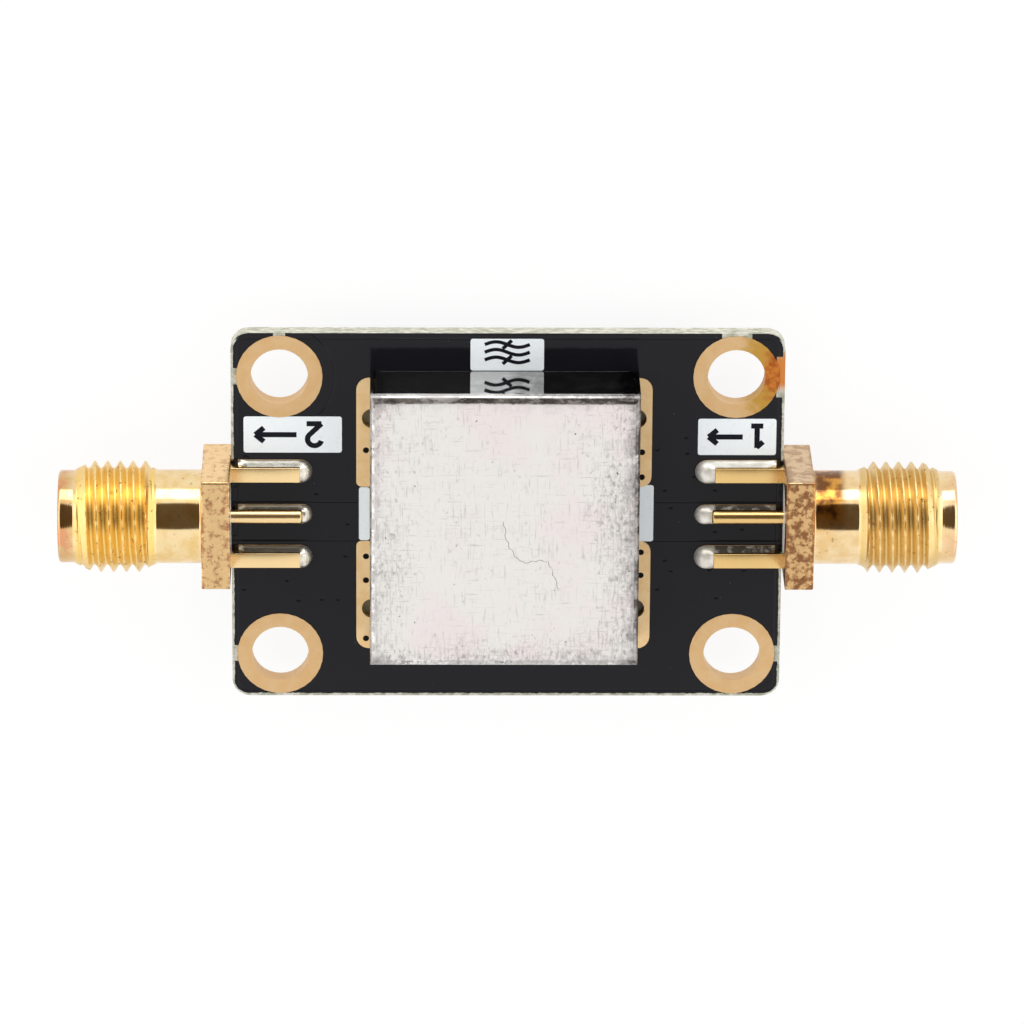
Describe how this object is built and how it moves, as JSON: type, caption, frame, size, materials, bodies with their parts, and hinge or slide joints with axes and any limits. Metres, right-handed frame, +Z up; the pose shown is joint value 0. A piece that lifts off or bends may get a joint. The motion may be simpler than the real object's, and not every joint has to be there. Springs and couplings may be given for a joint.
{
  "type": "RF bandpass filter module",
  "caption": "Black circuit board with a folded metal shield can over the filter parts, plated corner holes and a gold threaded coaxial jack on each short edge.",
  "frame": {"origin": "bottom centre of the bounding box: the height of the two jack flanges' lower faces, below the middle of the board", "axes": "+X runs through both jacks, from the input jack to the output jack; +Z points up from the board to the shield can's top; -Y is the front edge of the board, from which the printed marks read upright"},
  "size_m": [0.05, 0.0216, 0.007],
  "materials": {
    "black_laminate": "glossy black mask on glass laminate",
    "gold_plate": "bright gold plate on machined brass",
    "pad_gold": "matte gold plated copper",
    "tinned_sheet": "matte tinned sheet with fine scratches",
    "solder": "set tin solder, satin",
    "bead_white": "white fluoropolymer",
    "chip_ceramic": "matte ceramic chip",
    "coil_copper": "enamelled copper wire"
  },
  "bodies": {
    "root": {"circuit_board": "black_laminate", "mounting_ring_input_front": "pad_gold", "shield_pad_input_front": "pad_gold", "solder_tab_input_front": "solder", "land_input_front": "pad_gold", "solder_input_front": "solder", "land_input_under_front": "pad_gold", "solder_input_under_front": "solder", "mounting_ring_input_back": "pad_gold", "shield_pad_input_back": "pad_gold", "solder_tab_input_back": "solder", "land_input_back": "pad_gold", "solder_input_back": "solder", "land_input_under_back": "pad_gold", "solder_input_under_back": "solder", "land_input_signal": "pad_gold", "solder_input_signal": "solder", "input_jack": "gold_plate", "input_contact": "gold_plate", "input_insulator": "bead_white", "mounting_ring_output_front": "pad_gold", "shield_pad_output_front": "pad_gold", "solder_tab_output_front": "solder", "land_output_front": "pad_gold", "solder_output_front": "solder", "land_output_under_front": "pad_gold", "solder_output_under_front": "solder", "mounting_ring_output_back": "pad_gold", "shield_pad_output_back": "pad_gold", "solder_tab_output_back": "solder", "land_output_back": "pad_gold", "solder_output_back": "solder", "land_output_under_back": "pad_gold", "solder_output_under_back": "solder", "land_output_signal": "pad_gold", "solder_output_signal": "solder", "output_jack": "gold_plate", "output_contact": "gold_plate", "output_insulator": "bead_white", "shield_can": "tinned_sheet", "inductor_1": "coil_copper", "capacitor_1": "chip_ceramic", "inductor_2": "coil_copper", "capacitor_2": "chip_ceramic", "inductor_3": "coil_copper", "capacitor_3": "chip_ceramic", "inductor_4": "coil_copper", "capacitor_4": "chip_ceramic", "inductor_5": "coil_copper", "capacitor_5": "chip_ceramic"}
  },
  "joints": []
}
